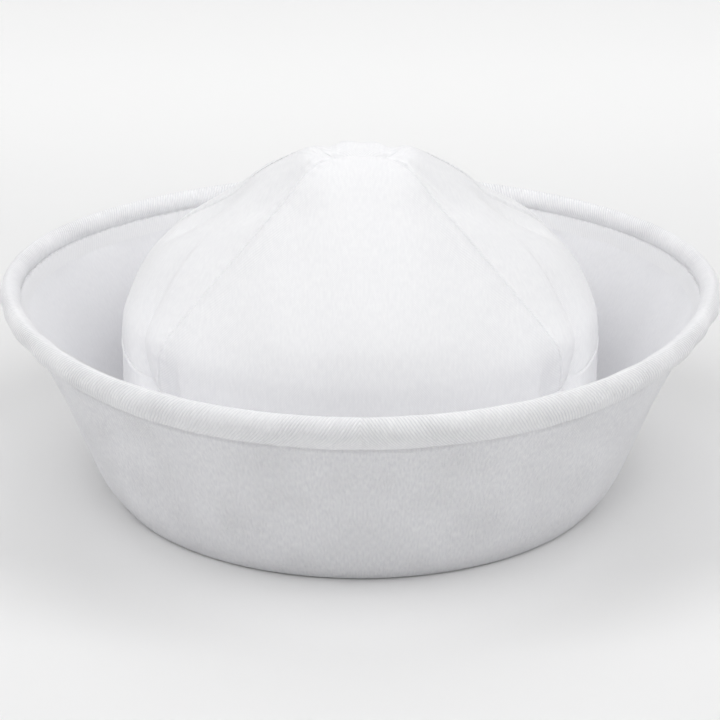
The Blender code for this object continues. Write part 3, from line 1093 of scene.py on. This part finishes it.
    def level_strip(self, start: float, end: float, count: int, height: float) -> Array:
        """Level points from one radius to another, the same at every azimuth."""
        strip = stack(np.linspace(start, end, count), np.full(count, height))
        return np.broadcast_to(strip, (self.columns, count, 2))

    def make_cuff(self) -> None:
        """Builds and dresses the wall with the fold that the cap stands on."""
        azimuth = turn_of(self.columns)
        middle, along, _ = self.roll_frame(azimuth)
        line = self.wall_line(azimuth)
        # The wall's top edge is sewn into the foot of the roll.
        edge = middle - along * (self.roll_height / 2.0 - self.tucked_in)
        stations = np.concatenate([line[:, :-1], edge[:, None]], axis=1)
        places = np.linspace(0.0, 1.0, self.wall_rows)
        sheet = np.moveaxis(through(np.moveaxis(stations, 1, 0), places), 0, 1)
        slope = unit(np.gradient(sheet, axis=1))
        normal = stack(slope[..., 1], -slope[..., 0])
        level = self.level_place(azimuth, self.wall_weave_radius)
        signed = np.radians(azimuth) * self.wall_weave_radius
        ups = arc_lengths(sheet)
        free = window(0.02, 0.35, 0.9, 1.0, places)
        depth, waves, phase = self.wall_waves
        wave = (depth * np.sin(azimuth * waves * math.pi / 180.0 + phase)[:, None]
                + Ripple(*self.wall_ripple, 11).push(signed[:, None], ups)) * free[None, :]
        half = self.cloth / 2.0
        drawn = self.drawn_in * bump(ups[:, -1:] - self.tucked_in - ups, self.drawn_width)
        outside = sheet + normal * (half + self.outside_share * wave - drawn)[..., None]
        inside = sheet + normal * (-half + wave)[..., None]
        inner_radius = self.base_radius - self.cloth - self.gap - self.crown_cloth
        bend = np.linspace(0.0, math.pi / 2.0, self.fold_steps + 2)[1:-1]
        corner = outside[:, self.fold_row]
        foot_out = stack(mix(self.base_radius - half, corner[:, :1], np.sin(bend)[None, :]),
                         corner[:, 1:] * (1.0 - np.cos(bend))[None, :])
        floor = self.level_strip(inner_radius, self.base_radius - half, self.floor_columns, 0.0)
        ledge = self.level_strip(self.base_radius - 0.9 * half, inner_radius, self.ledge_columns, self.cloth)
        # The inside starts above the fold, so that the two faces of the cloth never cross.
        loop = np.concatenate([floor, foot_out, outside[:, self.fold_row:],
                               inside[:, :self.fold_row - 1:-1], ledge], axis=1)
        sections = self.turned(loop, azimuth)
        lengths = arc_lengths(loop)
        shown = np.ones(loop.shape[1])
        shown[self.floor_columns + self.fold_steps + self.wall_rows - self.fold_row:] = self.faint_wall
        weave = stack(*np.broadcast_arrays(level[:, None], lengths, shown))
        piece = ClothPiece("brim_cuff_cloth", MaterialSlot.BRIM)
        body = piece.loft(sections, weave, True)
        piece.dress(SHADED_CUFF_TWILL, "brim_cuff")
        around = float(arc_lengths(self.turned(edge[:, None], azimuth)[:, 0])[-1])
        area = grid_area(self.turned(sheet, azimuth)) + math.pi * (self.base_radius ** 2 - inner_radius ** 2)

    def roll_points(self, azimuth: Array, steps: Array, bulges: Array) -> Array:
        """Points of the roll from their heights and bulges, as (radius, height)."""
        middle, along, out = self.roll_frame(azimuth)
        return middle[:, None] + along[:, None] * steps[..., None] + out[:, None] * bulges[..., None]

    def make_roll(self) -> None:
        """Builds and dresses the stuffed roll."""
        azimuth = turn_of(self.roll_columns)
        half_height, half_thickness = self.roll_height / 2.0, self.roll_thickness / 2.0
        even = np.linspace(0.0, 1.0, self.roll_steps)
        outer, inner = (through(np.array(side), even) for side in (self.roll_outside, self.roll_inside))
        loop = np.concatenate([outer, inner[1:] * (1.0, -1.0)])
        steps, bulges = loop[:, 0] * half_height, loop[:, 1] * half_thickness
        signed = np.radians(azimuth) * self.roll_weave_radius
        lengths = arc_lengths(stack(steps, bulges))
        stuffing = Ripple(*self.stuffing, 23).push(signed[:, None], lengths[None, :])
        swell = np.abs(loop[:, 1]) ** self.swell_power
        inward = np.where(bulges < 0.0, 1.0, 0.0)
        near_sewing, hem = (bump(loop[:, 0] - middle, width)
                            for middle, width in (self.gathers_at, self.puckers_at))
        gather = (self.tucks(signed, self.gathers)[:, None] * near_sewing * inward
                  + self.tucks(signed, self.puckers)[:, None] * hem * (1.0 - inward))
        sign = np.where(bulges < 0.0, -1.0, 1.0)
        bulge = bulges[None, :] + sign[None, :] * (stuffing * swell[None, :] + gather)
        sections = self.turned(self.roll_points(azimuth, np.broadcast_to(steps, bulge.shape), bulge), azimuth)
        level = self.level_place(azimuth, self.roll_weave_radius)[:, None]
        shown = np.where((loop[:, 0] < 0.1) & (bulges < 0.0), self.faint_roll, 1.0)
        weave = stack(*np.broadcast_arrays(level, lengths, shown))
        piece = ClothPiece("rim_roll_cloth", MaterialSlot.BRIM)
        body = piece.loft(sections[:, :-1], weave[:, :-1], True)
        piece.dress(ROLL_TWILL, "rim_roll")

    def sew(self) -> None:
        """Sews the roll's inner and outer edges to the wall."""
        closed = np.append(turn_of(self.roll_columns), 360.0)
        _, _, out = self.roll_frame(closed)
        for name, step, bulge, way in (("rim_inner_stitches", -0.07, -0.34, -1.0),
                                       ("rim_outer_stitches", -0.97, 0.40, 1.0)):
            row = StitchRow(name, MaterialSlot.BRIM, length=2.3 * MM, pitch=3.1 * MM, sink=0.02 * MM)
            points = self.roll_points(closed, np.full((len(closed), 1), step * (self.roll_height / 2.0)),
                                      np.full((len(closed), 1), bulge * (self.roll_thickness / 2.0)))
            normals = join(heading(closed) * out[:, :1], out[:, 1:]) * way
            row.make((self.turned(points, closed)[:, 0], normals))

    def make(self) -> None:
        """Builds the brim."""
        self.make_cuff()
        self.make_roll()
        self.sew()


@dataclass(frozen=True)
class Softbox:
    """A square soft light that points at the cap."""

    name: str
    spot: Triple
    size: float
    power: float


@dataclass
class Studio:
    """A plain pale floor that curves up into a backdrop, soft light and the photograph's camera."""

    # The paper: its flat part, the radius of its bend, and its rows and turns
    floor_radius: float = 3.0
    backdrop_height: float = 1.6
    bend: float = 0.9
    bend_rows: int = 16
    turns: int = 96
    floor_colour: str = "EFEFEF"
    # The camera: degrees above the base, distance from the cap's middle, focal length and shift
    tilt: float = 21.5
    distance: float = 1.15
    aim_height: float = 0.06
    focal_pixels: float = 2883.7
    frame_pixels: float = 720.0
    shift_pixels: float = -26.0
    sensor: float = 36.0
    # How far the paper glows, and behind which distances it starts and is full
    glow: float = 0.21
    glow_from: float = 0.12
    glow_to: float = 0.60
    softboxes: tuple[Softbox, ...] = (
        Softbox("key_softbox", (0.0, -1.30, 1.60), 1.5, 13.6),
        *(Softbox(name + "_softbox", spot, 1.2, power) for name, spot, power in (
            ("upper_left", (-1.15, -0.30, 1.65), 11.6), ("upper_right", (1.15, -0.30, 1.65), 11.6),
            ("lower_left", (-1.90, -0.40, 0.90), 5.0), ("lower_right", (1.90, -0.40, 0.90), 5.0))),
        Softbox("rear_softbox", (0.0, 1.00, 1.70), 1.5, 11.8),
    )

    def make_floor(self) -> None:
        """Builds the floor and backdrop as one lathed sheet."""
        bends = np.linspace(0.0, math.pi / 2.0, self.bend_rows)
        reach = self.floor_radius + self.bend
        radii = np.concatenate([[0.0, 1.0], self.floor_radius + self.bend * np.sin(bends), [reach]])
        heights = np.concatenate([[0.0, 0.0], self.bend * (1.0 - np.cos(bends)), [self.backdrop_height]])
        count = len(radii) - 1
        ring = join(heading(turn_of(self.turns))[:, None] * radii[None, 1:, None],
                    np.broadcast_to(heights[None, 1:, None], (self.turns, count, 1)))
        vertices = [(0.0, 0.0, 0.0)] + ring.reshape(-1, 3).tolist()
        faces = []
        for turn in range(self.turns):
            here, there = 1 + turn * count, 1 + (turn + 1) % self.turns * count
            faces.append((0, here, there))
            faces.extend((here + step, here + step + 1, there + step + 1, there + step)
                         for step in range(count - 1))
        mesh = bpy.data.meshes.new("studio_floor")
        mesh.from_pydata(vertices, [], faces)
        mesh.shade_smooth()
        colour = srgb(self.floor_colour)
        paper, tree, shader = new_finish("studio_paper", {
            "Base Color": colour, "Roughness": 1.0, "Specular IOR Level": 0.0, "Emission Color": colour})
        # The paper behind the cap glows: a painted pool of light, so that the backdrop stays pale.
        place = add_node(tree, "NewGeometry", "Position", {}, {})
        behind = add_node(tree, "SeparateXYZ", "Y", {}, {"Vector": place})
        fade = {"interpolation_type": "SMOOTHSTEP", "From Min": self.glow_from, "From Max": self.glow_to,
                "To Max": self.glow}
        glow = add_node(tree, "MapRange", "Result", fade, {"Value": behind})
        tree.links.new(glow, shader.inputs["Emission Strength"])
        mesh.materials.append(paper)
        floor = new_body("studio_floor", mesh)

    def make_lights(self) -> None:
        """Hangs the softboxes in a room that gives no light of its own."""
        world = bpy.data.worlds.new("studio")
        bpy.context.scene.world = world
        world.use_nodes = True
        world.node_tree.nodes["Background"].inputs["Strength"].default_value = 0.0
        for box in self.softboxes:
            light = bpy.data.lights.new(box.name, "AREA")
            light.energy, light.size = box.power, box.size
            lamp = new_body(box.name, light)
            lamp.location = box.spot
            way = Vector((0.0, 0.0, self.aim_height)) - Vector(box.spot)
            lamp.rotation_euler = way.to_track_quat("-Z", "Y").to_euler()

    def make_camera(self) -> None:
        """Sets the camera at the photograph's angle."""
        lens = bpy.data.cameras.new("photo_camera")
        lens.sensor_width = self.sensor
        lens.lens = self.sensor * self.focal_pixels / self.frame_pixels
        lens.shift_y = self.shift_pixels / self.frame_pixels
        camera = new_body("photo_camera", lens)
        tilt = math.radians(self.tilt)
        camera.location = (0.0, -self.distance * math.cos(tilt),
                           self.aim_height + self.distance * math.sin(tilt))
        camera.rotation_euler = (math.pi / 2.0 - tilt, 0.0, 0.0)
        bpy.context.scene.camera = camera

    def make(self) -> None:
        """Builds the studio."""
        self.make_camera()
        self.make_floor()
        self.make_lights()
        bpy.context.scene.view_settings.view_transform = "Standard"


def main() -> None:
    """Builds the studio and the cap."""
    logging.basicConfig(level=logging.INFO, format="%(name)s: %(message)s")
    Studio().make()
    Crown().make()
    Brim().make()


if __name__ == "__main__":
    main()
